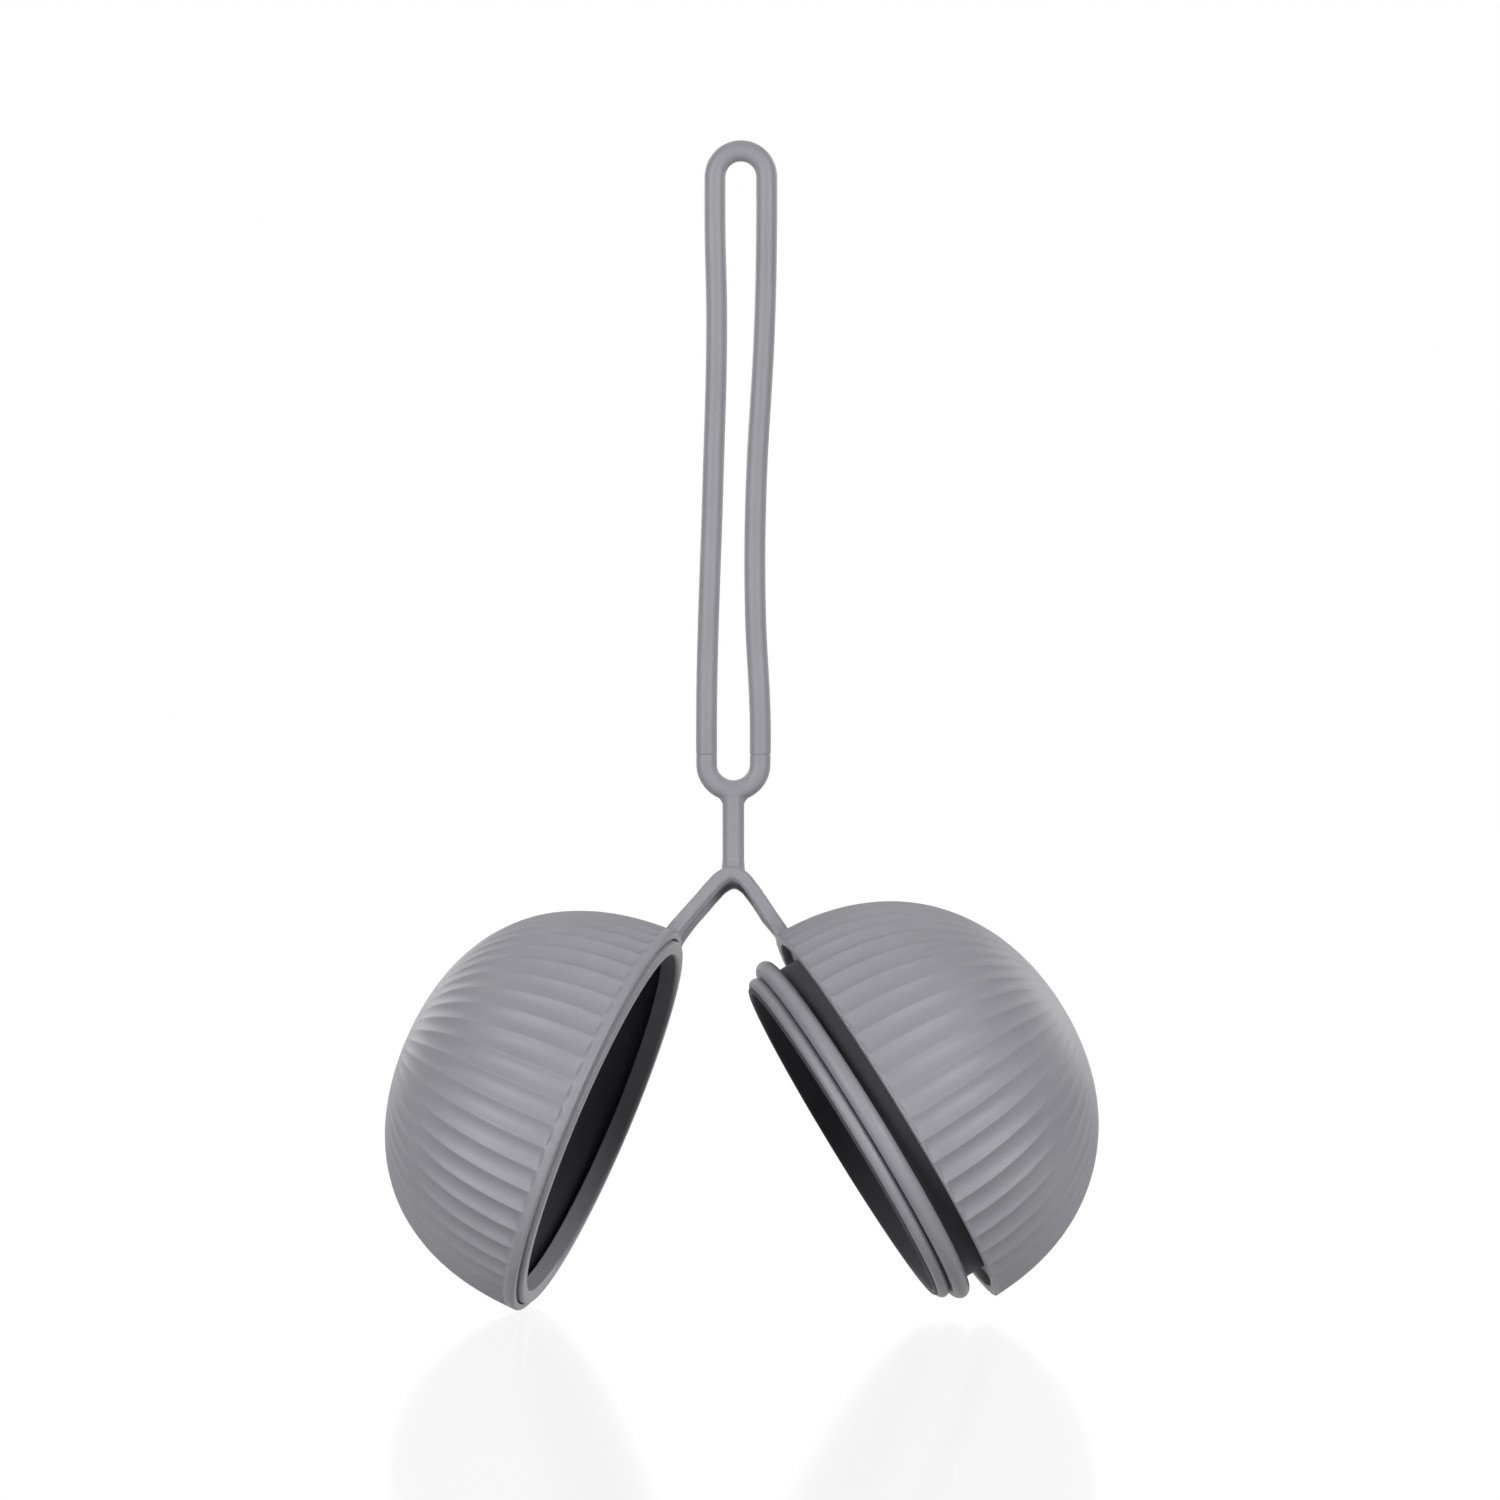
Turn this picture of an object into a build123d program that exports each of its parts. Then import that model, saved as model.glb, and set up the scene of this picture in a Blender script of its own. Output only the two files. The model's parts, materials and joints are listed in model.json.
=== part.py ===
from build123d import *
from math import cos, radians, sin, tan
import os

os.makedirs("parts", exist_ok=True)

# A moulded silicone ball case on a hanging loop.  It opens into two bowls, the socket and the
# plug, each on its own flexible strap under a short stem.  Millimetres and degrees, +Z up.
# The origin is the point where the case hangs: the inside of the loop's top bend.

# ---------------------------------------------------------------- driving dimensions
# hanging loop
cord_d = 3.0
loop_length = 97.0
loop_top_width = 7.6
loop_bottom_width = 7.9
loop_lean = 1.1

# stem and its two flexing ends
stem_d = 3.2
stem_length = 7.0
seat_rim_angle = 36.0
flare_spread = 1.1
flare_rise = 0.4
flare_lip = 0.6
flare_waist = 0.75
flare_edge = 0.62

# straps and the saddle that they spring from
strap_thickness = 2.3
strap_width = 7.6
strap_length = 8.2
strap_gap = 1.1
channel_width = 4.4
channel_depth = 0.3
shoulder_width = 1.3
shoulder_drop = 0.6
shoulder_foot = 0.95
neck_width = 0.6
neck_clear = 0.01
shoulder_top = 0.5
saddle_wall = 0.15

# how the case hangs open
lean = 15.4
socket_strap_angle = 48.5
socket_open_angle = 22.9
plug_strap_angle = 37.4
plug_open_angle = 32.1

# bowls
socket_rim_r = 29.9
socket_depth = 30.4
plug_rim_step = 0.8
plug_depth = 30.3
bowl_fullness = 0.6
socket_wall = 1.1
plug_wall = 1.5
pole_wall = 1.5
liner_wall = 1.3
rim_round = 0.5
tab_foot_share = 0.8
tab_width = 8.0
tab_root = 0.3

# snap closure, measured from each rim plane
lip_width = 2.3
lip_proud = 0.75
lip_depth = 2.0
lip_foot_depth = 1.0
collar_wall = 0.85
snap_bead_width = 2.6
tip_bead_height = 0.85
tip_bead_width = 1.9
tip_edge = 0.35
collar_round_share = 0.45
plug_floor_thickness = 1.6

# clearances
hinge_gap = 0.25
seat_gap = 0.05
parting_gap = 0.3
lip_groove = 0.25
collar_clearance = 0.45
bead_clearance = 0.4
bead_back_clearance = 0.3
tip_clearance = 0.7
lip_side_clearance = 0.35
lip_front_clearance = 0.75

# ---------------------------------------------------------------- the case's own directions
down = Vector(0, -sin(radians(lean)), -cos(radians(lean)))
to_front = Vector(0, -cos(radians(lean)), sin(radians(lean)))
to_back = to_front * -1
right = Vector(1, 0, 0)

plug_rim_r = socket_rim_r + plug_rim_step
strap_spacing = strap_thickness + strap_gap
hinge_r = strap_thickness / 2
hinge_seat_r = hinge_r + hinge_gap
hinge_to_axis = max(socket_rim_r, plug_rim_r) + tab_root + hinge_seat_r
ball_r = stem_d / 2
ball_seat_r = ball_r + hinge_gap
knee_to_pivots = ball_seat_r + hinge_seat_r + saddle_wall
stem_drop = (cord_d + stem_d) / 2

loop_foot_z = cord_d - loop_length + cord_d / 2
sway_point = Vector(-loop_lean, 0, loop_foot_z - stem_drop)
knee_point = sway_point + Vector(0, 0, -stem_length)


def case_point(x, drop):
    """A point in the leaning plane of the two straps, from the knee, across and down it."""
    return knee_point + right * x + down * drop


class Side:
    """One half of the case: its strap pivot, its bowl hinge and the centre of its rim."""

    def __init__(self, sign, strap_angle, open_angle):
        swing = radians(strap_angle)
        tilt = radians(open_angle)
        self.pivot = case_point(sign * strap_spacing / 2, knee_to_pivots)
        self.along = right * (sign * sin(swing)) + down * cos(swing)
        self.hinge = self.pivot + self.along * strap_length
        self.out = right * (sign * sin(tilt)) + down * cos(tilt)
        self.mouth = right * (-sign * cos(tilt)) + down * sin(tilt)
        self.hinge_behind_rim = strap_spacing / 2 - parting_gap / 2
        self.centre = self.hinge + self.out * hinge_to_axis + self.mouth * self.hinge_behind_rim
        self.normal = to_back if sign < 0 else to_front
        self.bowl_plane = Plane(origin=self.centre, x_dir=self.out, z_dir=self.normal)
        self.strap_plane = Plane(
            origin=(self.pivot + self.hinge) * 0.5, x_dir=self.along, z_dir=self.normal
        )
        self.axis = Axis(self.centre, self.mouth)


socket = Side(-1, socket_strap_angle, socket_open_angle)
plug = Side(1, plug_strap_angle, plug_open_angle)


def bowl_curve(radius, depth):
    """A slightly square quarter of a bowl, from its rim to its pole."""
    Bezier(
        (radius, 0),
        (radius, bowl_fullness * depth),
        (bowl_fullness * radius, depth),
        (0, depth),
    )


def bowl_section(radius, depth, wall, wall_at_pole):
    """Half the section of a bowl, from its axis out."""
    with BuildLine() as outline:
        bowl_curve(radius, depth)
        bowl_curve(radius - wall, depth - wall_at_pole)
        Line((radius - wall, 0), (radius, 0))
        Line((0, depth - wall_at_pole), (0, depth))
    make_face(outline.edges())


def ring_section(inner_r, outer_r, start, end, mode=Mode.ADD):
    """Half the section of a ring; start and end run from the rim plane into the bowl."""
    with Locations(((inner_r + outer_r) / 2, (start + end) / 2)):
        Rectangle(outer_r - inner_r, end - start, mode=mode)


def hinge_tab(side, rim_r, wall):
    """The tab that carries a bowl: it ends in a round seat for the strap's lower end."""
    top = hinge_to_axis - hinge_r / 2
    foot = rim_r - wall * tab_foot_share
    half = hinge_seat_r
    behind = side.hinge_behind_rim
    with BuildSketch(side.bowl_plane) as tab:
        with Locations((-(top + foot) / 2, behind)):
            Rectangle(top - foot, 2 * half)
    extrude(tab.sketch, amount=tab_width / 2, both=True)
    with BuildSketch(side.bowl_plane) as seat:
        with Locations((-hinge_to_axis, behind)):
            Circle(hinge_seat_r)
    extrude(seat.sketch, amount=tab_width, both=True, mode=Mode.SUBTRACT)


# ---------------------------------------------------------------- hanging loop
# The two cords wander a little, as a soft moulded loop does.
top_bend_r = loop_top_width / 2
foot_bend_r = loop_bottom_width / 2
top_bend_z = cord_d / 2 - top_bend_r
foot_bend_z = loop_foot_z + foot_bend_r
# share of the way down, and share of the way from the top bend's place to the foot's
left_route = [(0.08, 0), (0.25, -0.2), (0.52, 0.24), (0.83, 0.92), (0.92, 1)]
right_route = [(0.92, 1), (0.74, 1.74), (0.55, 1.68), (0.25, 0.32), (0.08, 0)]


def cord_points(top_x, foot_x, route):
    """A cord's corners from its route, in the loop's plane."""
    return [
        (top_x + (foot_x - top_x) * across, top_bend_z + (foot_bend_z - top_bend_z) * down_share)
        for down_share, across in route
    ]


left_foot_x = -loop_lean - foot_bend_r
right_foot_x = -loop_lean + foot_bend_r
left_cord = [
    (-top_bend_r, top_bend_z),
    *cord_points(-top_bend_r, left_foot_x, left_route),
    (left_foot_x, foot_bend_z),
]
right_cord = [
    (right_foot_x, foot_bend_z),
    *cord_points(top_bend_r, right_foot_x, right_route),
    (top_bend_r, top_bend_z),
]


def gentle_radii(points):
    """The largest arcs that the runs on both sides of each corner leave room for."""
    radii = []
    for before, corner, after in zip(points, points[1:], points[2:]):
        run_in = Vector(*corner) - Vector(*before)
        run_out = Vector(*after) - Vector(*corner)
        half_turn = radians(run_in.get_angle(run_out)) / 2
        radii.append(0.45 * min(run_in.length, run_out.length) / tan(half_turn))
    return radii


seat_rim = ball_seat_r * sin(radians(seat_rim_angle))
with BuildPart() as hanging_loop:
    with BuildLine(Plane.XZ) as loop_path:
        FilletPolyline(*left_cord, radius=gentle_radii(left_cord))
        ThreePointArc(left_cord[-1], (-loop_lean, loop_foot_z), right_cord[0])
        FilletPolyline(*right_cord, radius=gentle_radii(right_cord))
        ThreePointArc(right_cord[-1], (0, cord_d / 2), left_cord[0])
    loop_wire = loop_path.wires()[0]
    with BuildSketch(Plane(origin=loop_wire @ 0, z_dir=loop_wire % 0)):
        Circle(cord_d / 2)
    sweep(path=loop_wire)
    # the flared foot that the stem hangs from
    with BuildSketch(Plane(origin=sway_point, x_dir=right, z_dir=(0, -1, 0))):
        with BuildLine():
            Polyline(
                (0, stem_drop),
                (cord_d * flare_spread, stem_drop - flare_rise),
                (stem_d * flare_waist, seat_rim + flare_lip),
                (stem_d * flare_edge, seat_rim),
                (0, seat_rim),
                close=True,
            )
        make_face()
    revolve(axis=Axis(sway_point, (0, 0, 1)))
    with Locations(sway_point):
        Sphere(ball_seat_r, mode=Mode.SUBTRACT)
hanging_loop.part.label = "hanging_loop"
export_step(hanging_loop.part, "parts/hanging_loop.step")

# ---------------------------------------------------------------- stem
with BuildPart() as stem:
    with BuildSketch(Plane(origin=(sway_point + knee_point) * 0.5, x_dir=right, z_dir=(0, -1, 0))):
        SlotCenterToCenter(stem_length, stem_d, rotation=90)
        with Locations((-stem_d, 0)):
            Rectangle(2 * stem_d, stem_length + 2 * stem_d, mode=Mode.SUBTRACT)
    revolve(axis=Axis(sway_point, (0, 0, 1)))
stem.part.label = "stem"
export_step(stem.part, "parts/stem.step")

# ---------------------------------------------------------------- saddle
saddle_plane = Plane(origin=knee_point, x_dir=right, z_dir=to_front)
saddle_half = strap_spacing / 2 + hinge_r * shoulder_width
saddle_foot = knee_to_pivots - hinge_seat_r * shoulder_foot
saddle_shoulder = saddle_foot - shoulder_drop
web_foot = knee_to_pivots - hinge_r / 2
neck_half = stem_d * neck_width
neck_top = seat_rim
with BuildPart() as saddle:
    with BuildSketch(saddle_plane):
        with BuildLine():
            Polyline(
                (-neck_half, -neck_top),
                (-saddle_half, -saddle_shoulder),
                (-saddle_half, -saddle_foot),
                (-strap_spacing / 2, -saddle_foot),
                (-strap_spacing / 2, -web_foot),
                (strap_spacing / 2, -web_foot),
                (strap_spacing / 2, -saddle_foot),
                (saddle_half, -saddle_foot),
                (saddle_half, -saddle_shoulder),
                (neck_half, -neck_top),
                close=True,
            )
        make_face()
    extrude(amount=strap_width / 2, both=True)
    # rounded shoulders front and back, so that the neck is as slim as the stem
    with BuildSketch(Plane(origin=knee_point, x_dir=to_back, z_dir=right)):
        with BuildLine():
            Polyline(
                (neck_half, -neck_top + neck_clear),
                (strap_width / 2, -saddle_shoulder),
                (strap_width, -saddle_shoulder),
                (strap_width, shoulder_top),
                (neck_half, shoulder_top),
                close=True,
            )
        make_face()
        mirror(about=Plane.YZ)
    extrude(amount=strap_width, both=True, mode=Mode.SUBTRACT)
    with Locations(knee_point):
        Sphere(ball_seat_r, mode=Mode.SUBTRACT)
    with BuildSketch(saddle_plane):
        with Locations(
            (-strap_spacing / 2, -knee_to_pivots),
            (strap_spacing / 2, -knee_to_pivots),
        ):
            Circle(hinge_seat_r)
    extrude(amount=strap_width, both=True, mode=Mode.SUBTRACT)
saddle.part.label = "saddle"
export_step(saddle.part, "parts/saddle.step")


# ---------------------------------------------------------------- straps
def strap_solid(side):
    """A flat ribbon with round ends about its two hinges and a shallow channel inside."""
    with BuildSketch(side.strap_plane) as ribbon:
        SlotCenterToCenter(strap_length, strap_thickness)
    extrude(ribbon.sketch, amount=strap_width / 2, both=True)
    with BuildSketch(side.strap_plane) as channel:
        with Locations((0, -strap_thickness / 2)):
            Rectangle(strap_length, 2 * channel_depth)
    extrude(channel.sketch, amount=channel_width / 2, both=True, mode=Mode.SUBTRACT)


with BuildPart() as socket_strap:
    strap_solid(socket)
socket_strap.part.label = "socket_strap"
export_step(socket_strap.part, "parts/socket_strap.step")

with BuildPart() as plug_strap:
    strap_solid(plug)
plug_strap.part.label = "plug_strap"
export_step(plug_strap.part, "parts/plug_strap.step")

# ---------------------------------------------------------------- socket half
socket_inner_r = socket_rim_r - socket_wall
socket_inner_depth = socket_depth - pole_wall
lip_opening_r = socket_inner_r - lip_width
lip_outer_r = socket_inner_r - lip_groove
lip_foot_r = socket_inner_r - 2 * seat_gap
collar_r = lip_opening_r - collar_clearance
snap_bead_r = socket_inner_r - bead_clearance
snap_bead_start = lip_depth + parting_gap + bead_back_clearance
tip_bead_start = snap_bead_start + snap_bead_width + seat_gap
collar_reach = tip_bead_start + tip_bead_width + tip_edge
liner_start = collar_reach - parting_gap + tip_clearance

with BuildPart() as socket_shell:
    with BuildSketch(socket.bowl_plane) as socket_profile:
        bowl_section(socket_rim_r, socket_depth, socket_wall, pole_wall)
        fillet(socket_profile.vertices().sort_by_distance((socket_rim_r, 0))[0], rim_round)
    revolve(axis=socket.axis)
    hinge_tab(socket, socket_rim_r, socket_wall)
socket_shell.part.label = "socket_shell"
export_step(socket_shell.part, "parts/socket_shell.step")

with BuildPart() as socket_lip:
    with BuildSketch(socket.bowl_plane) as lip_profile:
        ring_section(lip_opening_r, lip_outer_r, -lip_proud, lip_depth)
        ring_section(lip_opening_r, lip_foot_r, lip_foot_depth, lip_depth)
        fillet(lip_profile.vertices().group_by(Axis.Y)[0], rim_round)
    revolve(axis=socket.axis)
socket_lip.part.label = "socket_lip"
export_step(socket_lip.part, "parts/socket_lip.step")

with BuildPart() as socket_liner:
    with BuildSketch(socket.bowl_plane):
        bowl_section(
            socket_inner_r - 2 * seat_gap, socket_inner_depth - 2 * seat_gap, liner_wall, liner_wall
        )
        ring_section(0, 2 * socket_rim_r, -socket_depth, liner_start, mode=Mode.SUBTRACT)
    revolve(axis=socket.axis)
socket_liner.part.label = "socket_liner"
export_step(socket_liner.part, "parts/socket_liner.step")

# ---------------------------------------------------------------- plug half
plug_inner_r = plug_rim_r - plug_wall
plug_inner_depth = plug_depth - pole_wall
collar_bore_r = collar_r + seat_gap
recess_r = lip_outer_r + lip_side_clearance
plug_floor_recess = lip_proud - parting_gap + lip_front_clearance
floor_back = plug_floor_recess + plug_floor_thickness
bead_root_r = collar_r + seat_gap

with BuildPart() as plug_shell:
    with BuildSketch(plug.bowl_plane) as plug_profile:
        bowl_section(plug_rim_r, plug_depth, plug_wall, pole_wall)
        ring_section(recess_r, plug_inner_r + plug_wall / 2, 0, floor_back)
        ring_section(collar_bore_r, plug_inner_r, plug_floor_recess, floor_back)
        fillet(plug_profile.vertices().sort_by_distance((plug_rim_r, 0))[0], rim_round)
    revolve(axis=plug.axis)
    hinge_tab(plug, plug_rim_r, plug_wall)
plug_shell.part.label = "plug_shell"
export_step(plug_shell.part, "parts/plug_shell.step")

with BuildPart() as plug_collar:
    with BuildSketch(plug.bowl_plane) as collar_profile:
        ring_section(collar_r - collar_wall, collar_r, -collar_reach, floor_back)
        fillet(collar_profile.vertices().group_by(Axis.Y)[0], collar_wall * collar_round_share)
    revolve(axis=plug.axis)
plug_collar.part.label = "plug_collar"
export_step(plug_collar.part, "parts/plug_collar.step")


def bead_section(top_r, width, start):
    """Half the section of a bead: a straight root on the collar under a half-round top."""
    crown_r = top_r - width / 2
    middle = -(start + width / 2)
    ring_section(bead_root_r, crown_r, middle - width / 2, middle + width / 2)
    with Locations((crown_r, middle)):
        Circle(width / 2)
    ring_section(0, bead_root_r, middle - width, middle + width, mode=Mode.SUBTRACT)


with BuildPart() as plug_snap_bead:
    with BuildSketch(plug.bowl_plane):
        bead_section(snap_bead_r, snap_bead_width, snap_bead_start)
    revolve(axis=plug.axis)
plug_snap_bead.part.label = "plug_snap_bead"
export_step(plug_snap_bead.part, "parts/plug_snap_bead.step")

with BuildPart() as plug_tip_bead:
    with BuildSketch(plug.bowl_plane):
        bead_section(collar_r + tip_bead_height, tip_bead_width, tip_bead_start)
    revolve(axis=plug.axis)
plug_tip_bead.part.label = "plug_tip_bead"
export_step(plug_tip_bead.part, "parts/plug_tip_bead.step")

with BuildPart() as plug_liner:
    with BuildSketch(plug.bowl_plane):
        bowl_section(
            plug_inner_r - 2 * seat_gap, plug_inner_depth - 2 * seat_gap, liner_wall, liner_wall
        )
        ring_section(0, 2 * plug_rim_r, -plug_depth, floor_back + seat_gap, mode=Mode.SUBTRACT)
    revolve(axis=plug.axis)
plug_liner.part.label = "plug_liner"
export_step(plug_liner.part, "parts/plug_liner.step")
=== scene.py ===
import json
import math

import bpy
from mathutils import Matrix, Vector

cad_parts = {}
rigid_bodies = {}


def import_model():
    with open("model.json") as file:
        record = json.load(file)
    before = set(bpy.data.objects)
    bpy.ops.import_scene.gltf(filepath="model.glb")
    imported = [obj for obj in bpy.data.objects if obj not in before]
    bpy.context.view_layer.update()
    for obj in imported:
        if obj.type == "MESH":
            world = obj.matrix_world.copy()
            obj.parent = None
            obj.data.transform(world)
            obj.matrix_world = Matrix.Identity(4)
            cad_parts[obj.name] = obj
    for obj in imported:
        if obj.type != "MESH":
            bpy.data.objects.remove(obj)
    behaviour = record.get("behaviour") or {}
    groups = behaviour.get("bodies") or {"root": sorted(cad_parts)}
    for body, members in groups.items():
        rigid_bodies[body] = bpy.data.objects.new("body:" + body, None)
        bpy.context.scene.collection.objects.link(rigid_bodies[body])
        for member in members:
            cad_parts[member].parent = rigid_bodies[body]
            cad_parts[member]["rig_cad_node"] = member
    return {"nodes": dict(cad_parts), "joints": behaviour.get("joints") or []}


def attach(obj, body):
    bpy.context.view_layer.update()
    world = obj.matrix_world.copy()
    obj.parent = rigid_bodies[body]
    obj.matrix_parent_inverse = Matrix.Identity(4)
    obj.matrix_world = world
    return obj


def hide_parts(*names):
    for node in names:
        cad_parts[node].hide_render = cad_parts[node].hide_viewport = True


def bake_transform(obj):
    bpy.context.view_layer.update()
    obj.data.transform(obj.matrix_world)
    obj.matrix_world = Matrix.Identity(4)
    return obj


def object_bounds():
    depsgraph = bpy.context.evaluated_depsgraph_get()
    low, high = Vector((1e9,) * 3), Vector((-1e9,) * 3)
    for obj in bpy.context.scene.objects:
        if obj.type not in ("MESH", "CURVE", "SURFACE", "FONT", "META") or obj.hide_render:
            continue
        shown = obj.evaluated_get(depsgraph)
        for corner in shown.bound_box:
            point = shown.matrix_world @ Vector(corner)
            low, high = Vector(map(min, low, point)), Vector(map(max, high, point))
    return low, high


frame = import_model()
cad_box = [list(corner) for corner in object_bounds()]
mm = 0.001

# The case's driving sizes in millimetres and degrees, the same as the solid model's.
CORD_D = 3.0
STEM_D = 3.2
RIBBON_THICKNESS = 2.0
RIBBON_WIDTH = 7.6
CHANNEL_WIDTH = 4.4
CHANNEL_DEPTH = 0.55
FLUTES = 54
SCOOP_DEPTH = 0.55

SOCKET = dict(
    body="socket_bowl", sign=-1, strap_angle=48.5, open_angle=22.9,
    rim_r=29.9, depth=30.4, behind_rim=1.55, band=1.3, edge_scoop=0.0,
    fullness=0.64,
)
PLUG = dict(
    body="plug_bowl", sign=1, strap_angle=37.4, open_angle=32.1,
    rim_r=30.7, depth=30.3, behind_rim=1.55, band=0.1, edge_scoop=0.35,
    fullness=0.6,
)
HINGE_TO_AXIS = 32.4
INSIDE_FULLNESS = 0.6  # a Bezier handle's share of the bowl's radius or depth
AT_RIM = 0.003  # how near the rim's plane a point counts as on it
CREST_BREAK = 0.09
POLE_SMOOTH, POLE_FLUTED = 16, 46  # degrees from the pole where the flutes start and are full

SOCKET_INNER_R, SOCKET_INNER_DEPTH = 28.8, 28.9
SOCKET_LIP_BACK = 2.2
PLUG_INNER_R, PLUG_INNER_DEPTH = 29.2, 28.8
RECESS_R, RECESS_DEPTH = 28.9, 1.2
PLUG_THROAT_R, PLUG_FLOOR_BACK = 26.1, 2.8
WALL_MIN = 0.9  # a face deeper than this under the outer skin is on the inside

joints = {j["name"]: j for j in frame["joints"]}
sway = Vector(joints["loop_sway"]["pos_m"])
knee = Vector(joints["stem_fold"]["pos_m"])
to_back = Vector(joints["socket_strap_swing"]["axis"])
lean = math.atan2(-to_back.z, to_back.y)
right = Vector((1, 0, 0))
down = Vector((0, -math.sin(lean), -math.cos(lean)))


# ---------------------------------------------------------------- small shop helpers
def hold(obj):
    """Puts everything down and picks up one object."""
    bpy.ops.object.select_all(action="DESELECT")
    obj.select_set(True)
    bpy.context.view_layer.objects.active = obj
    return obj


def rename(obj, name):
    obj.name = name
    obj.data.name = name
    return obj


def draw(name, knots, closed=False, resolution=16):
    """A flat Bezier curve. A knot is (x, y), with its own handles (in, out) after it if it has them."""
    bpy.ops.object.select_all(action="DESELECT")
    bpy.ops.curve.primitive_bezier_curve_add(location=(0, 0, 0))
    curve = rename(bpy.context.object, name)
    curve.data.dimensions = "2D"
    curve.data.fill_mode = "NONE"
    spline = curve.data.splines[0]
    spline.bezier_points.add(len(knots) - 2)
    spline.use_cyclic_u = closed
    for point, knot in zip(spline.bezier_points, knots):
        point.co = (knot[0] * mm, knot[1] * mm, 0)
        point.handle_left_type = point.handle_right_type = "AUTO"
    for point, knot in zip(spline.bezier_points, knots):
        if len(knot) > 2:
            point.handle_left_type = point.handle_right_type = "FREE"
            point.handle_left = (knot[2][0] * mm, knot[2][1] * mm, 0)
            point.handle_right = (knot[3][0] * mm, knot[3][1] * mm, 0)
    curve.data.resolution_u = resolution
    return curve


def to_mesh(obj):
    hold(obj)
    bpy.ops.object.convert(target="MESH")
    return bpy.context.object


def apply_all(obj):
    """Applies an object's modifiers in order."""
    hold(obj)
    for modifier in list(obj.modifiers):
        bpy.ops.object.modifier_apply(modifier=modifier.name)
    return obj


def settle(obj, matrix=None):
    """Moves a finished piece to its place and leaves that place in its mesh."""
    hold(obj)
    if matrix is not None:
        obj.matrix_world = matrix @ obj.matrix_world
    bpy.ops.object.transform_apply(location=True, rotation=True, scale=True)
    return obj


def flatten(obj, share, middle_x, direction):
    """Presses a piece flatter in one direction, about a place on the X axis."""
    middle = Matrix.Translation((middle_x, 0, 0))
    obj.data.transform(middle @ Matrix.Scale(share, 4, direction) @ middle.inverted())


def edit(obj, mode="VERT"):
    hold(obj)
    bpy.ops.object.mode_set(mode="EDIT")
    bpy.ops.mesh.select_mode(type=mode)
    bpy.ops.mesh.select_all(action="DESELECT")
    bpy.ops.object.mode_set(mode="OBJECT")
    return obj


def select_points(obj, wanted):
    """Selects the vertices that a test picks by place."""
    edit(obj)
    for v in obj.data.vertices:
        v.select = wanted(v.co)
    bpy.ops.object.mode_set(mode="EDIT")


def select_edges(obj, wanted):
    """Selects the edges that a test picks by their two ends."""
    edit(obj, "EDGE")
    points = obj.data.vertices
    for e in obj.data.edges:
        e.select = wanted(points[e.vertices[0]].co, points[e.vertices[1]].co)
    bpy.ops.object.mode_set(mode="EDIT")


def weld(obj, gap=0.002):
    """Merges what coincides and turns the faces outwards."""
    hold(obj)
    bpy.ops.object.mode_set(mode="EDIT")
    bpy.ops.mesh.select_mode(type="VERT")
    bpy.ops.mesh.select_all(action="SELECT")
    bpy.ops.mesh.remove_doubles(threshold=gap * mm)
    bpy.ops.mesh.normals_make_consistent(inside=False)
    bpy.ops.object.mode_set(mode="OBJECT")
    return obj


def smooth(obj, angle=35):
    hold(obj)
    bpy.ops.object.shade_smooth_by_angle(angle=math.radians(angle))
    return obj


def ease(value, start, end):
    """0 before start, 1 after end, and a soft step between them."""
    share = min(1.0, max(0.0, (value - start) / (end - start)))
    return share * share * (3 - 2 * share)


def copy_of(obj, name):
    """A copy with a mesh of its own."""
    twin = obj.copy()
    twin.data = obj.data.copy()
    bpy.context.scene.collection.objects.link(twin)
    return rename(twin, name)


def cut(obj, place, keep_side):
    """Cuts a piece at a plane and keeps what lies on the side that keep_side points to."""
    hold(obj)
    bpy.ops.object.mode_set(mode="EDIT")
    bpy.ops.mesh.select_mode(type="VERT")
    bpy.ops.mesh.select_all(action="SELECT")
    bpy.ops.mesh.bisect(
        plane_co=place, plane_no=keep_side, use_fill=True, clear_inner=True, threshold=1e-7
    )
    bpy.ops.object.mode_set(mode="OBJECT")
    return obj


# ---------------------------------------------------------------- materials
def linear(colour):
    """An sRGB hex colour as the linear colour that a shader takes."""
    parts = [int(colour[i : i + 2], 16) / 255 for i in (1, 3, 5)]
    return [p / 12.92 if p <= 0.04045 else ((p + 0.055) / 1.055) ** 2.4 for p in parts] + [1.0]


def add(tree, kind, links=(), **settings):
    """Adds a node. links are (its input, another node's output); settings name inputs or properties."""
    made = tree.nodes.new(kind)
    for name, value in settings.items():
        if hasattr(made, name):
            setattr(made, name, value)
        else:
            made.inputs[name.replace("_", " ")].default_value = value
    for name, output in links:
        tree.links.new(output, made.inputs[name])
    return made


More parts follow.
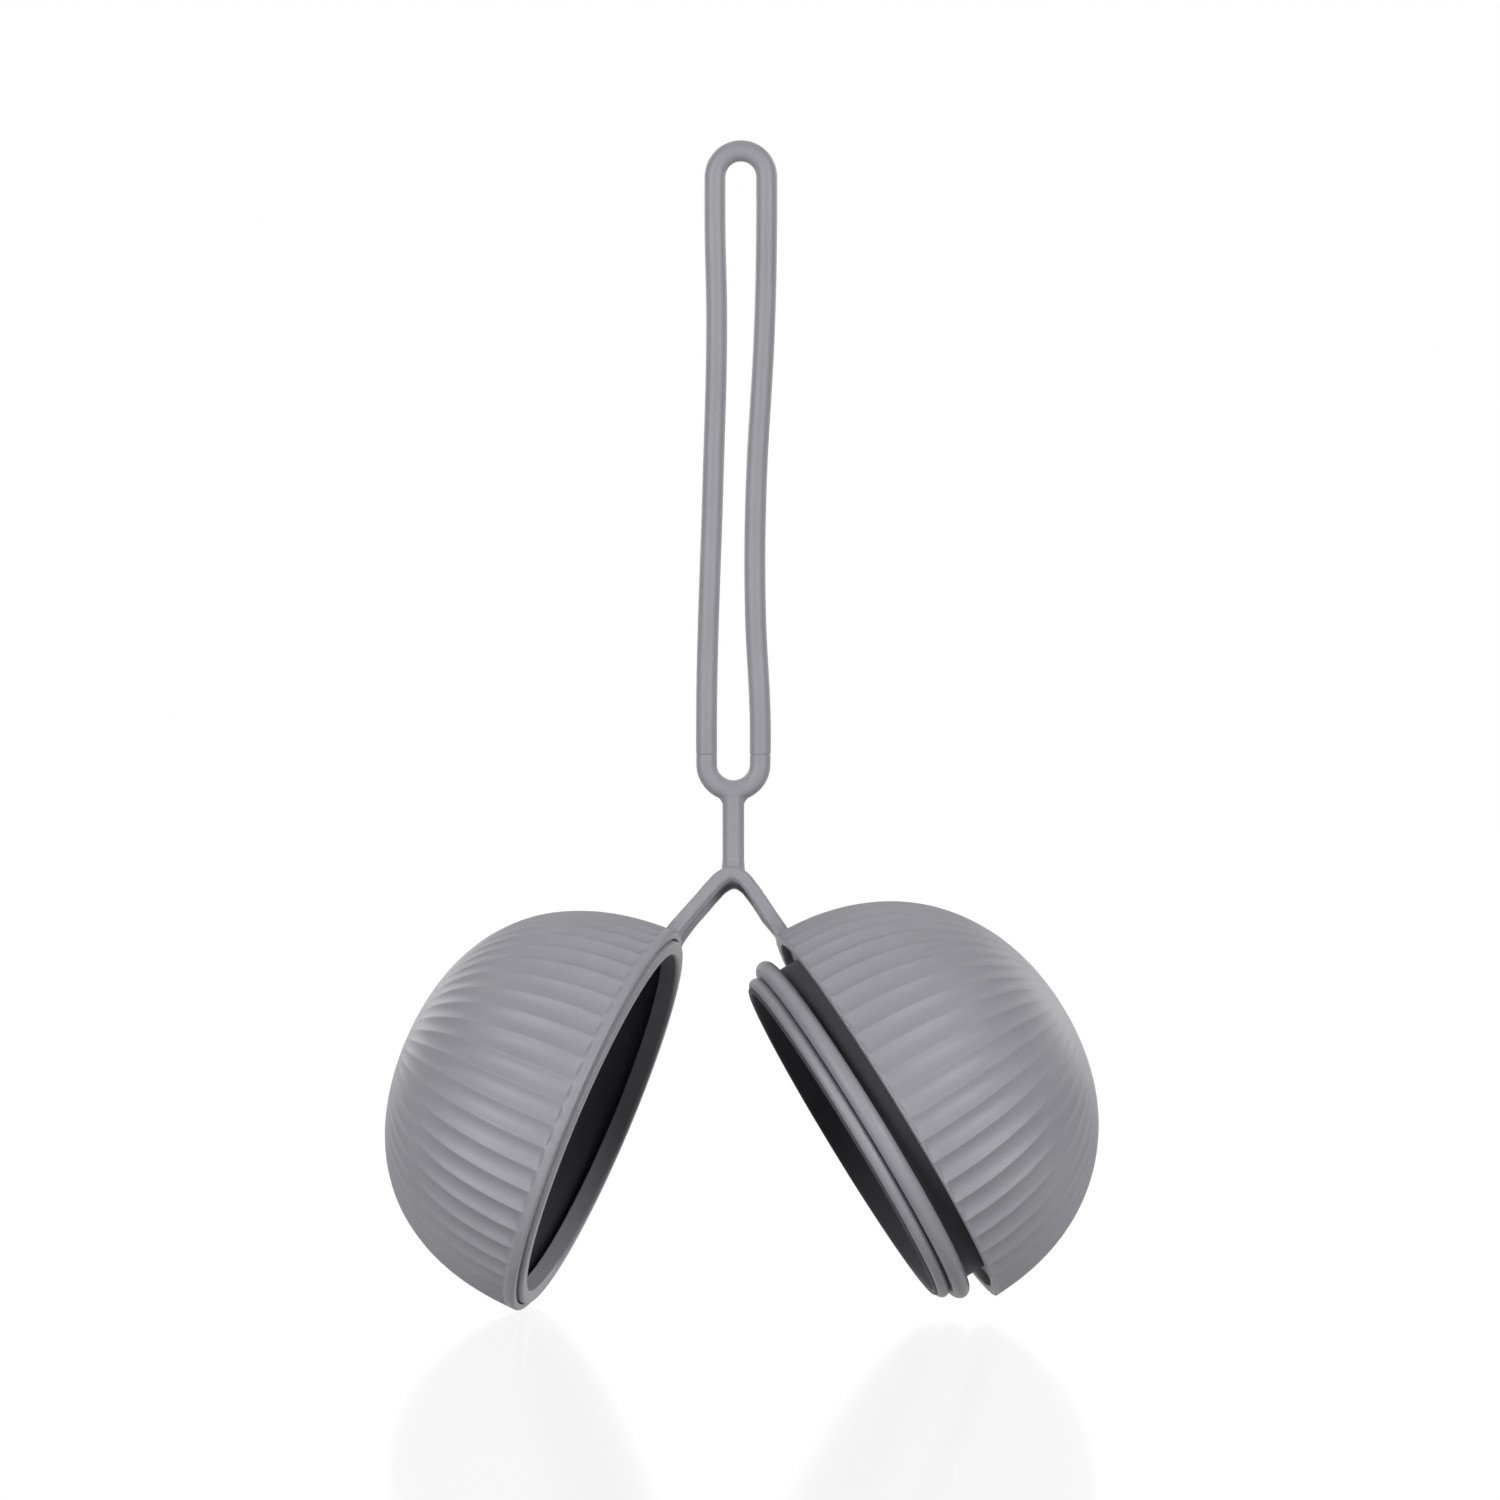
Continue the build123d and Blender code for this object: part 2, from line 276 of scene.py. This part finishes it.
def silicone(name, main, cloudy, grain_size, grain_height, roughness, sheen, shine=0.5):
    """Liquid silicone rubber from a spark-eroded mould."""
    material = bpy.data.materials.new(name)
    material.use_nodes = True
    tree = material.node_tree
    tree.nodes.clear()
    place = add(tree, "ShaderNodeTexCoord").outputs["Object"]
    # slow drift of the pigment through the moulding
    clouds = add(
        tree, "ShaderNodeTexNoise", [("Vector", place)],
        Scale=1 / (14 * mm), Detail=3.0, Roughness=0.5,
    )
    tone = add(tree, "ShaderNodeValToRGB", [("Fac", clouds.outputs["Fac"])])
    tone.color_ramp.elements[0].position = 0.3
    tone.color_ramp.elements[0].color = linear(cloudy)
    tone.color_ramp.elements[1].position = 0.7
    tone.color_ramp.elements[1].color = linear(main)
    # fine grain that the mould's eroded face leaves
    grain = add(
        tree, "ShaderNodeTexNoise", [("Vector", place)],
        Scale=1 / (grain_size * mm), Detail=2.0, Roughness=0.6,
    )
    # long soft swells where the thick rubber has shrunk as it cured
    swell = add(
        tree, "ShaderNodeTexNoise", [("Vector", place)],
        Scale=1 / (9 * mm), Detail=1.0, Roughness=0.4,
    )
    low = add(
        tree, "ShaderNodeBump", [("Height", swell.outputs["Fac"])],
        Strength=1.0, Distance=0.03 * mm,
    )
    fine = add(
        tree, "ShaderNodeBump",
        [("Height", grain.outputs["Fac"]), ("Normal", low.outputs["Normal"])],
        Strength=1.0, Distance=grain_height * mm,
    )
    dull = add(
        tree, "ShaderNodeMapRange", [("Value", grain.outputs["Fac"])],
        From_Min=0.3, From_Max=0.7, To_Min=roughness - 0.05, To_Max=roughness + 0.05,
    )
    skin = add(
        tree, "ShaderNodeBsdfPrincipled",
        [
            ("Base Color", tone.outputs["Color"]),
            ("Roughness", dull.outputs["Result"]),
            ("Normal", fine.outputs["Normal"]),
        ],
        IOR=1.41,
    )
    skin.inputs["Sheen Weight"].default_value = sheen
    skin.inputs["Specular IOR Level"].default_value = shine
    skin.inputs["Sheen Roughness"].default_value = 0.4
    add(tree, "ShaderNodeOutputMaterial", [("Surface", skin.outputs["BSDF"])])
    return material


# Grey silicone rubber, moulded satin: soft broad highlights, no hard glints and a pale edge
# where light grazes it.
grey_silicone = silicone(
    "silicone_moulded_satin_grey", "#9f9ea5", "#98979e",
    grain_size=0.22, grain_height=0.004, roughness=0.46, sheen=0.05,
)
# The inside faces: charcoal matte silicone on the liners, darkened past their own tone as painted shade of
# the deep bowl, and painted shade alone on the shells' grey inner wall; nearly black in the bowl and a dull
# grey where light rakes them.
charcoal_liner_and_painted_shade = silicone(
    "silicone_matte_charcoal_and_painted_shade", "#4c4b54", "#46454e",
    grain_size=0.3, grain_height=0.006, roughness=0.62, sheen=0.0, shine=0.2,
)

# The plug's neck: a slate tone halfway between the grey skin and the dark inside, painted shade standing in
# for the shadow in the groove behind the snap bead; dull all over.
slate_painted_groove_shade = silicone(
    "silicone_matte_slate_painted_groove_shade", "#56555b", "#504f55",
    grain_size=0.3, grain_height=0.005, roughness=0.6, sheen=0.0, shine=0.25,
)


def finish_with(obj, material):
    obj.data.materials.clear()
    obj.data.materials.append(material)
    return obj


# ---------------------------------------------------------------- fluted bowls
def bowl_frame(half):
    """Where a bowl sits: its rim's centre at the origin, its mouth along +Z, away from its hinge along +X."""
    tilt = math.radians(half["open_angle"])
    sign = half["sign"]
    away = right * (sign * math.sin(tilt)) + down * math.cos(tilt)
    mouth = right * (-sign * math.cos(tilt)) + down * math.sin(tilt)
    hinge = Vector(joints[half["body"] + "_tilt"]["pos_m"])
    centre = hinge + away * (HINGE_TO_AXIS * mm) + mouth * (half["behind_rim"] * mm)
    side = mouth.cross(away)
    place = Matrix((away, side, mouth)).transposed().to_4x4()
    place.translation = centre
    return place


def bowl_profile(radius, depth, fullness, steps):
    """Points down the inside or outside of a bowl, from its rim to its pole, as (radius, depth)."""
    line = draw(
        "profile",
        [
            (radius, 0, (radius, 0), (radius, -fullness * depth)),
            (0, -depth, (fullness * radius, -depth), (0, -depth)),
        ],
        resolution=steps,
    )
    return to_mesh(line)


def scoop_share(point, half):
    """How deep a flute is cut at a point of the bowl's skin: full at its middle, none at the crests."""
    radius = math.hypot(point.x, point.y) / mm
    height = -point.z / mm
    if radius < 0.5:
        return 0.0
    pitch = 2 * math.pi / FLUTES
    across = abs(math.atan2(point.y, point.x) / pitch) * 2
    from_pole = math.degrees(math.atan2(radius, height))
    fade = ease(from_pole, POLE_SMOOTH, POLE_FLUTED) * (radius / half["rim_r"])
    behind_band = ease(height, half["band"], half["band"] + 0.55)
    at_rim = half["edge_scoop"] + (1 - half["edge_scoop"]) * behind_band
    return max(0.0, 1 - across * across) * fade * at_rim


def fluted_skin(half):
    """The bowl's outer skin: one flute shaped, then turned round the bowl."""
    skin = bowl_profile(half["rim_r"], half["depth"], half["fullness"], 44)
    pitch = 2 * math.pi / FLUTES
    # the profile lies in XY; stand it up so that the bowl's axis is Z
    settle(skin, Matrix.Rotation(math.pi / 2, 4, "X"))
    edit(skin)
    bpy.ops.object.mode_set(mode="EDIT")
    bpy.ops.mesh.select_all(action="SELECT")
    bpy.ops.mesh.spin(steps=8, angle=pitch, center=(0, 0, 0), axis=(0, 0, 1))
    bpy.ops.object.mode_set(mode="OBJECT")
    weld(skin)
    # centre the flute on +X whichever way the spin went
    middle = sum((v.co for v in skin.data.vertices), Vector()) / len(skin.data.vertices)
    settle(skin, Matrix.Rotation(-math.atan2(middle.y, middle.x), 4, "Z"))
    # rows of faces where the flutes start behind the rim
    for height in [half["band"] + step for step in (0.02, 0.2, 0.4, 0.58)] + [2.4]:
        hold(skin)
        bpy.ops.object.mode_set(mode="EDIT")
        bpy.ops.mesh.select_all(action="SELECT")
        bpy.ops.mesh.bisect(plane_co=(0, 0, -height * mm), plane_no=(0, 0, 1))
        bpy.ops.object.mode_set(mode="OBJECT")
    group = skin.vertex_groups.new(name="scoop")
    for v in skin.data.vertices:
        group.add([v.index], scoop_share(v.co, half), "REPLACE")
    outward = sum(
        (p.normal.dot(Vector((p.center.x, p.center.y, 0))) for p in skin.data.polygons), 0.0
    )
    cutter = skin.modifiers.new("scoop", "DISPLACE")
    cutter.vertex_group = "scoop"
    cutter.direction = "NORMAL"
    cutter.mid_level = 0.0
    cutter.strength = -math.copysign(SCOOP_DEPTH * mm, outward)
    apply_all(skin)
    # all the other flutes, then one closed skin
    edit(skin)
    bpy.ops.object.mode_set(mode="EDIT")
    bpy.ops.mesh.select_all(action="SELECT")
    bpy.ops.mesh.spin(
        steps=FLUTES - 1, dupli=True, angle=pitch * (FLUTES - 1), center=(0, 0, 0), axis=(0, 0, 1)
    )
    bpy.ops.object.mode_set(mode="OBJECT")
    return weld(skin)


def wall_steps(radius, depth, start):
    """The inside of a bowl's wall from a depth to its pole, as (radius, depth) steps."""
    line = bowl_profile(radius, depth, INSIDE_FULLNESS, 15)
    points = [(v.co.x / mm, -v.co.y / mm) for v in line.data.vertices]
    bpy.data.objects.remove(line)
    points = sorted(points, key=lambda p: p[1])
    return [p for p in points if p[1] > start + 0.3]


def turn_in(skin, steps):
    """Takes the rim's edge inwards and down the inside of the bowl, one extruded step at a time."""
    select_points(skin, lambda p: abs(p.z) < AT_RIM * mm)
    bpy.ops.mesh.select_mode(type="EDGE")
    now_h = 0.0
    for number, (radius, height) in enumerate(steps):
        bpy.ops.mesh.extrude_edges_move(
            TRANSFORM_OT_translate={"value": (0, 0, -(height - now_h) * mm)}
        )
        if number == 0:
            # the flutes leave the edge wavy, so its first copy is drawn onto a true circle
            bpy.ops.transform.tosphere(value=1)
            bpy.ops.object.mode_set(mode="OBJECT")
            picked = [v.co for v in skin.data.vertices if v.select]
            now_r = max(math.hypot(p.x, p.y) for p in picked) / mm
            bpy.ops.object.mode_set(mode="EDIT")
        factor = radius / now_r
        bpy.ops.transform.resize(value=(factor, factor, 1), center_override=(0, 0, -height * mm))
        now_r, now_h = max(radius, 1e-4), height
    bpy.ops.object.mode_set(mode="OBJECT")
    return weld(skin)


def round_corner(obj, radius, height, size, segments=3):
    """Rounds a ring edge of a bowl, given by its radius and its depth behind the rim."""
    def on_corner(a, b):
        return all(
            abs(math.hypot(p.x, p.y) / mm - radius) < 0.3 and abs(-p.z / mm - height) < 0.02
            for p in (a, b)
        ) and abs(math.hypot(a.x, a.y) - math.hypot(b.x, b.y)) < 0.15 * mm
    select_edges(obj, on_corner)
    bpy.ops.mesh.bevel(offset=size * mm, segments=segments, affect="EDGES")
    bpy.ops.object.mode_set(mode="OBJECT")
    return obj


def break_crests(obj, half):
    """Takes the knife edge off the crests between the flutes."""
    pitch = 2 * math.pi / FLUTES

    def on_crest(a, b):
        for p in (a, b):
            radius, height = math.hypot(p.x, p.y) / mm, -p.z / mm
            turn = math.atan2(p.y, p.x) / pitch
            if radius < 13 or height < half["band"] + 0.1:
                return False
            if abs(turn - math.floor(turn) - 0.5) > 0.01:
                return False
            if math.degrees(math.atan2(radius, height)) < 27:
                return False
        outer = bowl_depth_gap(half, a) < 0.25 and bowl_depth_gap(half, b) < 0.25
        return outer and abs(a.z - b.z) > 0.05 * mm
    select_edges(obj, on_crest)
    bpy.ops.mesh.bevel(offset=CREST_BREAK * mm, segments=2, affect="EDGES")
    bpy.ops.object.mode_set(mode="OBJECT")
    return obj


def bowl_depth_gap(half, p):
    """Roughly how far a point lies inside the bowl's outer skin, in millimetres."""
    radius, height = math.hypot(p.x, p.y) / mm, -p.z / mm
    low, high = 0.0, 1.0
    for _ in range(24):
        t = (low + high) / 2
        r = half["rim_r"] * ((1 - t) ** 3 + 3 * (1 - t) ** 2 * t + 3 * (1 - t) * t * t * half["fullness"])
        h = half["depth"] * (3 * (1 - t) ** 2 * t * half["fullness"] + 3 * (1 - t) * t * t + t**3)
        if h * radius < height * r:
            low = t
        else:
            high = t
    return math.hypot(r, h) - math.hypot(radius, height)


socket_shell = turn_in(
    fluted_skin(SOCKET),
    [(SOCKET_INNER_R, 0.0), (SOCKET_INNER_R, SOCKET_LIP_BACK)]
    + wall_steps(SOCKET_INNER_R, SOCKET_INNER_DEPTH, SOCKET_LIP_BACK),
)
break_crests(socket_shell, SOCKET)
round_corner(socket_shell, SOCKET["rim_r"], 0.0, 0.45, 4)
round_corner(socket_shell, SOCKET_INNER_R, 0.0, 0.12, 2)
rename(socket_shell, "socket_shell_fluted")

plug_shell = turn_in(
    fluted_skin(PLUG),
    [
        (RECESS_R, 0.0), (RECESS_R, RECESS_DEPTH),
        (PLUG_THROAT_R, RECESS_DEPTH), (PLUG_THROAT_R, PLUG_FLOOR_BACK),
        (PLUG_INNER_R, PLUG_FLOOR_BACK),
    ]
    + wall_steps(PLUG_INNER_R, PLUG_INNER_DEPTH, PLUG_FLOOR_BACK),
)
break_crests(plug_shell, PLUG)
round_corner(plug_shell, PLUG["rim_r"], 0.0, 0.3, 3)
round_corner(plug_shell, RECESS_R, 0.0, 0.15, 2)
rename(plug_shell, "plug_shell_fluted")

for shell, half, node in ((socket_shell, SOCKET, "socket_shell"), (plug_shell, PLUG, "plug_shell")):
    settle(shell, bowl_frame(half))
    weld(shell, 0.001)
    smooth(shell, 32)
    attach(shell, half["body"])
    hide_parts(node)
    finish_with(shell, grey_silicone)
    # painted shade: the shell's own grey inner wall, deeper than 2.3 mm behind the rim, takes the dark
    # material to stand in for the shadow inside the bowl
    shell.data.materials.append(charcoal_liner_and_painted_shade)
    to_local = bowl_frame(half).inverted()
    for face in shell.data.polygons:
        spot = to_local @ face.center
        if -spot.z > 2.3 * mm and bowl_depth_gap(half, spot) > WALL_MIN:
            face.material_index = 1

# ---------------------------------------------------------------- the flexible moulding
# Places in the leaning plane of the two straps, from the knee: across, and up.
plane_place = Matrix.Translation(knee) @ Matrix.Rotation(math.pi / 2 - lean, 4, "X")


def swept(name, path, section, ends=True):
    """Sweeps a drawn section along a drawn path."""
    path.data.bevel_mode = "OBJECT"
    path.data.bevel_object = section
    path.data.use_fill_caps = ends
    made = to_mesh(path)
    bpy.data.objects.remove(section)
    rename(made, name)
    return weld(made, 0.001)


def ribbon_section():
    """A flat ribbon's section, with a shallow channel along the arch's inner face."""
    half_t, half_w, round_r = RIBBON_THICKNESS / 2, RIBBON_WIDTH / 2, 0.35
    channel = CHANNEL_WIDTH / 2
    corners = [
        (round_r - half_t, -half_w), (-half_t, round_r - half_w),
        (-half_t, half_w - round_r), (round_r - half_t, half_w),
        (half_t - round_r, half_w), (half_t, half_w - round_r),
        (half_t, channel + 0.25), (half_t - CHANNEL_DEPTH, channel - 0.25),
        (half_t - CHANNEL_DEPTH, -channel + 0.25), (half_t, -channel - 0.25),
        (half_t, -half_w + round_r), (half_t - round_r, -half_w),
    ]
    return draw("section", [(x, y, (x, y), (x, y)) for x, y in corners], closed=True, resolution=1)


def round_section(diameter, ridge=0.0):
    """A cord's section, with the thin ridge that the mould's parting line leaves on its two sides."""
    r = diameter / 2
    knots = []
    for i in range(32):
        a = 2 * math.pi * i / 32
        reach = r + (ridge if i in (0, 16) else 0.0)
        x, y = reach * math.cos(a), reach * math.sin(a)
        knots.append((x, y, (x, y), (x, y)))
    return draw("section", knots, closed=True, resolution=1)


# one ribbon runs from the left bowl, over a rounded arch under the stem, to the right bowl
arch_knots = [
    (-8.85, -12.3), (-8.2, -11.2), (-7.25, -9.95), (-6.05, -8.45),
    (-4.55, -6.7), (-3.05, -4.9), (-1.6, -3.45),
    (0.0, -2.8), (1.5, -3.4), (2.75, -4.8), (4.1, -6.7), (5.45, -8.8), (6.8, -10.9), (7.8, -12.45),
]
arch_path = draw("arch_path", arch_knots, resolution=8)
arch_points = list(arch_path.data.splines[0].bezier_points)
for end_points in (arch_points[:3], arch_points[:-4:-1]):
    for point, radius in zip(end_points, (1.16, 1.1, 1.04)):
        point.radius = radius
arch = settle(swept("arch_ribbon", arch_path, ribbon_section()), plane_place)

# the loop, in its own upright plane
bend_top, bend_foot = 3.8, 3.95
top_z, foot_z, middle_x = CORD_D / 2 - bend_top, -88.55, -1.1
left_x, right_x = middle_x - bend_foot, middle_x + bend_foot
ROUND = 0.5523


def corner(x, y, dx_in, dy_in, dx_out, dy_out):
    return (x, y, (x + dx_in, y + dy_in), (x + dx_out, y + dy_out))


loop_knots = [
    corner(0, CORD_D / 2, -ROUND * bend_top, 0, ROUND * bend_top, 0),
    corner(bend_top, top_z, 0, ROUND * bend_top, 0, -2.2),
    (3.8, -9.2), (3.5, -23.9), (2.2, -49.7), (2.15, -66.1), (2.85, -81.7),
    corner(right_x, foot_z, 0, 2.2, 0, -ROUND * bend_foot),
    corner(middle_x, foot_z - bend_foot, ROUND * bend_foot, 0, -ROUND * bend_foot, 0),
    corner(left_x, foot_z, 0, -ROUND * bend_foot, 0, 2.2),
    (-5.05, -81.7), (-4.95, -73.9), (-4.1, -47.2), (-3.55, -23.9), (-3.8, -9.2),
    corner(-bend_top, top_z, 0, -2.2, 0, ROUND * bend_top),
]
upright = Matrix.Rotation(math.pi / 2, 4, "X")
loop = swept(
    "hanging_loop_cord",
    draw("loop_path", loop_knots, closed=True, resolution=20),
    round_section(CORD_D, 0.05),
    ends=False,
)
settle(loop, upright)

# the stem, from inside the loop's foot to inside the saddle
bpy.ops.object.select_all(action="DESELECT")
stem_top = Vector((sway.x, 0, (foot_z - bend_foot) * mm))
stem_foot = knee + down * (3.2 * mm)
bpy.ops.mesh.primitive_cylinder_add(vertices=48, radius=STEM_D / 2 * mm, depth=1, end_fill_type="NGON")
stem = rename(bpy.context.object, "stem_core")
hold(stem)
stem.scale.z = (stem_top.z - knee.z)
stem.location = (stem_top + knee) / 2
settle(stem)
select_points(stem, lambda p: p.z < knee.z + 0.1 * mm)
bpy.ops.mesh.extrude_region_move(TRANSFORM_OT_translate={"value": tuple(stem_foot - knee)})
bpy.ops.transform.resize(value=(1.16, 1.16, 1), center_override=tuple(stem_foot))
bpy.ops.object.mode_set(mode="OBJECT")

# a short flare under the loop and a rounded shoulder on the saddle
bpy.ops.object.select_all(action="DESELECT")
bpy.ops.mesh.primitive_cone_add(
    vertices=48, radius1=STEM_D / 2 * mm, radius2=2.5 * mm, depth=1.5 * mm,
    location=(sway.x, 0, (foot_z - bend_foot - 1.15) * mm), end_fill_type="NGON",
)
flare = rename(bpy.context.object, "flare")
settle(flare)
flatten(flare, 0.66, sway.x, (0, 1, 0))

bpy.ops.object.select_all(action="DESELECT")
bpy.ops.mesh.primitive_cone_add(
    vertices=32, radius1=3.1 * mm, radius2=1.5 * mm, depth=1.6 * mm, location=(0, 0, 0), end_fill_type="NGON",
)
shoulder = rename(bpy.context.object, "shoulder")
settle(shoulder, Matrix.Translation(knee + down * (2.35 * mm)) @ Matrix.Rotation(-lean, 4, "X"))
flatten(shoulder, 0.55, knee.x, (1, 0, 0))

# the loop's foot bend is part of the same moulding, so a short length of it joins the stem
foot_cut = (foot_z + 1.5) * mm
foot = cut(copy_of(loop, "loop_foot"), (0, 0, foot_cut), (0, 0, -1))
cut(loop, (0, 0, foot_cut), (0, 0, 1))

moulding = hold(stem)
for part in (foot, flare, shoulder, arch):
    part.select_set(True)
bpy.ops.object.join()
moulding = rename(bpy.context.object, "moulding")
fuse = moulding.modifiers.new("fuse", "REMESH")
fuse.mode = "VOXEL"
fuse.voxel_size = 0.13 * mm
fuse.use_smooth_shade = True
relax = moulding.modifiers.new("relax", "SMOOTH")
relax.factor = 0.5
relax.iterations = 7
apply_all(moulding)


def strap_line(half):
    """A strap's pivot on the saddle and its direction."""
    angle = math.radians(half["strap_angle"])
    pivot = Vector(joints[half["body"].split("_")[0] + "_strap_swing"]["pos_m"])
    return pivot, right * (half["sign"] * math.sin(angle)) + down * math.cos(angle)


up = Vector((0, 0, 1))
stem_middle = Vector((sway.x, 0, -98.9 * mm))
lines = {half["body"]: strap_line(half) for half in (SOCKET, PLUG)}
# millimetres along a strap from its pivot: where it leaves the saddle, where its root stops
# bending, its middle cut, and where its foot starts and stops bending
ROOT_AT = {"socket_bowl": -0.9, "plug_bowl": -0.6}
ROOT_END, MIDDLE_AT, FOOT_START, FOOT_END = 2.9, 4.2, 5.6, 9.7


def at(half, distance):
    pivot, along = lines[half["body"]]
    return pivot + along * (distance * mm)


neck_upper = cut(copy_of(moulding, "stem_upper_moulding"), stem_middle, up)
rest = cut(moulding, stem_middle, -up)
ribbon_pieces = []
for half, label in ((SOCKET, "socket"), (PLUG, "plug")):
    along = lines[half["body"]][1]
    arm = cut(copy_of(rest, label + "_arm"), at(half, ROOT_AT[half["body"]]), along)
    cut(rest, at(half, ROOT_AT[half["body"]]), -along)
    # the root plane also crosses the far arm, so only this side of the case is kept
    cut(arm, Vector((knee.x, 0, 0)), right * half["sign"])
    lower = cut(copy_of(arm, label + "_strap_lower_moulding"), at(half, MIDDLE_AT), along)
    upper = cut(arm, at(half, MIDDLE_AT), -along)
    rename(upper, label + "_strap_upper_moulding")
    ribbon_pieces.append((half, label, upper, lower))
neck_lower = rename(rest, "stem_lower_moulding")

for piece in (loop, neck_upper, neck_lower):
    weld(piece, 0.0005)
    smooth(piece, 40)
    finish_with(piece, grey_silicone)
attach(loop, "loop")
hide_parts("hanging_loop")
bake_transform(neck_upper)
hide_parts("stem")
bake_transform(neck_lower)
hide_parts("saddle")
for half, label, upper, lower in ribbon_pieces:
    for piece in (upper, lower):
        weld(piece, 0.0005)
        smooth(piece, 40)
        finish_with(piece, grey_silicone)
    strap = label + "_strap"
    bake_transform(upper)
    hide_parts(strap)
    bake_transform(lower)

# ------------------------------------------------- rings and liners carried over from the solid model
# the liners' charcoal is partly painted shade of the deep bowls, and the collar's slate is painted shade of
# its groove
for node, material in (
    ("socket_lip", grey_silicone), ("plug_collar", slate_painted_groove_shade), ("plug_snap_bead", grey_silicone),
    ("plug_tip_bead", grey_silicone), ("socket_liner", charcoal_liner_and_painted_shade), ("plug_liner", charcoal_liner_and_painted_shade),
):
    finish_with(frame["nodes"][node], material)

# ---------------------------------------------------------------- floor, light and camera
floor_z = cad_box[0][2]
bpy.ops.object.select_all(action="DESELECT")
bpy.ops.mesh.primitive_plane_add(size=6, location=(0, 0, floor_z))
floor = rename(bpy.context.object, "white_acrylic_floor")
acrylic = bpy.data.materials.new("acrylic_sheet_polished_white")
acrylic.use_nodes = True
tree = acrylic.node_tree
tree.nodes.clear()
glow = add(tree, "ShaderNodeEmission", Strength=1.03, Color=(1, 1, 1, 1))
polish = add(tree, "ShaderNodeBsdfGlossy", Roughness=0.13, Color=(1, 1, 1, 1))
sheet = add(tree, "ShaderNodeMixShader")
sheet.inputs[0].default_value = 0.13
tree.links.new(glow.outputs[0], sheet.inputs[1])
tree.links.new(polish.outputs[0], sheet.inputs[2])
add(tree, "ShaderNodeOutputMaterial", [("Surface", sheet.outputs["Shader"])])
floor.data.materials.append(acrylic)
floor.visible_diffuse = False

bpy.ops.object.select_all(action="DESELECT")
bpy.ops.mesh.primitive_plane_add(size=5, location=(0, 1.6, 0.5), rotation=(math.pi / 2, 0, 0))
backdrop = rename(bpy.context.object, "white_paper_backdrop")
paper_roll = bpy.data.materials.new("paper_backdrop_lit_white")
paper_roll.use_nodes = True
tree = paper_roll.node_tree
tree.nodes.clear()
lit = add(tree, "ShaderNodeEmission", Strength=1.0, Color=(1, 1, 1, 1))
add(tree, "ShaderNodeOutputMaterial", [("Surface", lit.outputs[0])])
backdrop.data.materials.append(paper_roll)
backdrop.visible_diffuse = False

world = bpy.data.worlds.new("white_room")
bpy.context.scene.world = world
world.use_nodes = True
room = world.node_tree
room.nodes.clear()
dim = add(room, "ShaderNodeBackground", Strength=0.13, Color=(1, 1, 1, 1))
paper = add(room, "ShaderNodeBackground", Strength=1.0, Color=(1, 1, 1, 1))
seen = add(room, "ShaderNodeLightPath")
both = room.nodes.new("ShaderNodeMixShader")
room.links.new(seen.outputs["Is Camera Ray"], both.inputs[0])
room.links.new(dim.outputs["Background"], both.inputs[1])
room.links.new(paper.outputs["Background"], both.inputs[2])
add(room, "ShaderNodeOutputWorld", [("Surface", both.outputs["Shader"])])


def softbox(name, place, aim, size, watts):
    bpy.ops.object.select_all(action="DESELECT")
    bpy.ops.object.light_add(type="AREA", location=place)
    lamp = rename(bpy.context.object, name)
    lamp.data.shape = "RECTANGLE"
    lamp.data.size, lamp.data.size_y = size
    lamp.data.energy = watts
    lamp.rotation_euler = (Vector(aim) - Vector(place)).to_track_quat("-Z", "Y").to_euler()
    return lamp


aim = (0, 0, -0.12)
softbox("left_softbox", (-0.66, -0.75, 0.12), aim, (0.35, 0.6), 6)
softbox("right_softbox", (0.66, -0.75, 0.12), aim, (0.35, 0.6), 6)
softbox("top_softbox", (0, 0.35, 0.8), aim, (0.9, 0.4), 1)
softbox("back_left_softbox", (-0.7, 0.85, 0.3), aim, (0.4, 0.6), 2.2)
softbox("back_right_softbox", (0.7, 0.85, 0.3), aim, (0.4, 0.6), 2.2)

scene = bpy.context.scene
bpy.ops.object.select_all(action="DESELECT")
target = Vector((1.405, -1.115, -86.48)) * mm
eye = Vector((40.05, -799.9, -65.5)) * mm
bpy.ops.object.camera_add(location=eye)
camera = bpy.context.object
camera.data.lens = 130.56
camera.data.sensor_width = 36
camera.data.clip_start, camera.data.clip_end = 0.01, 20
camera.rotation_euler = (target - eye).to_track_quat("-Z", "Y").to_euler()
scene.camera = camera
scene.view_settings.view_transform = "Standard"
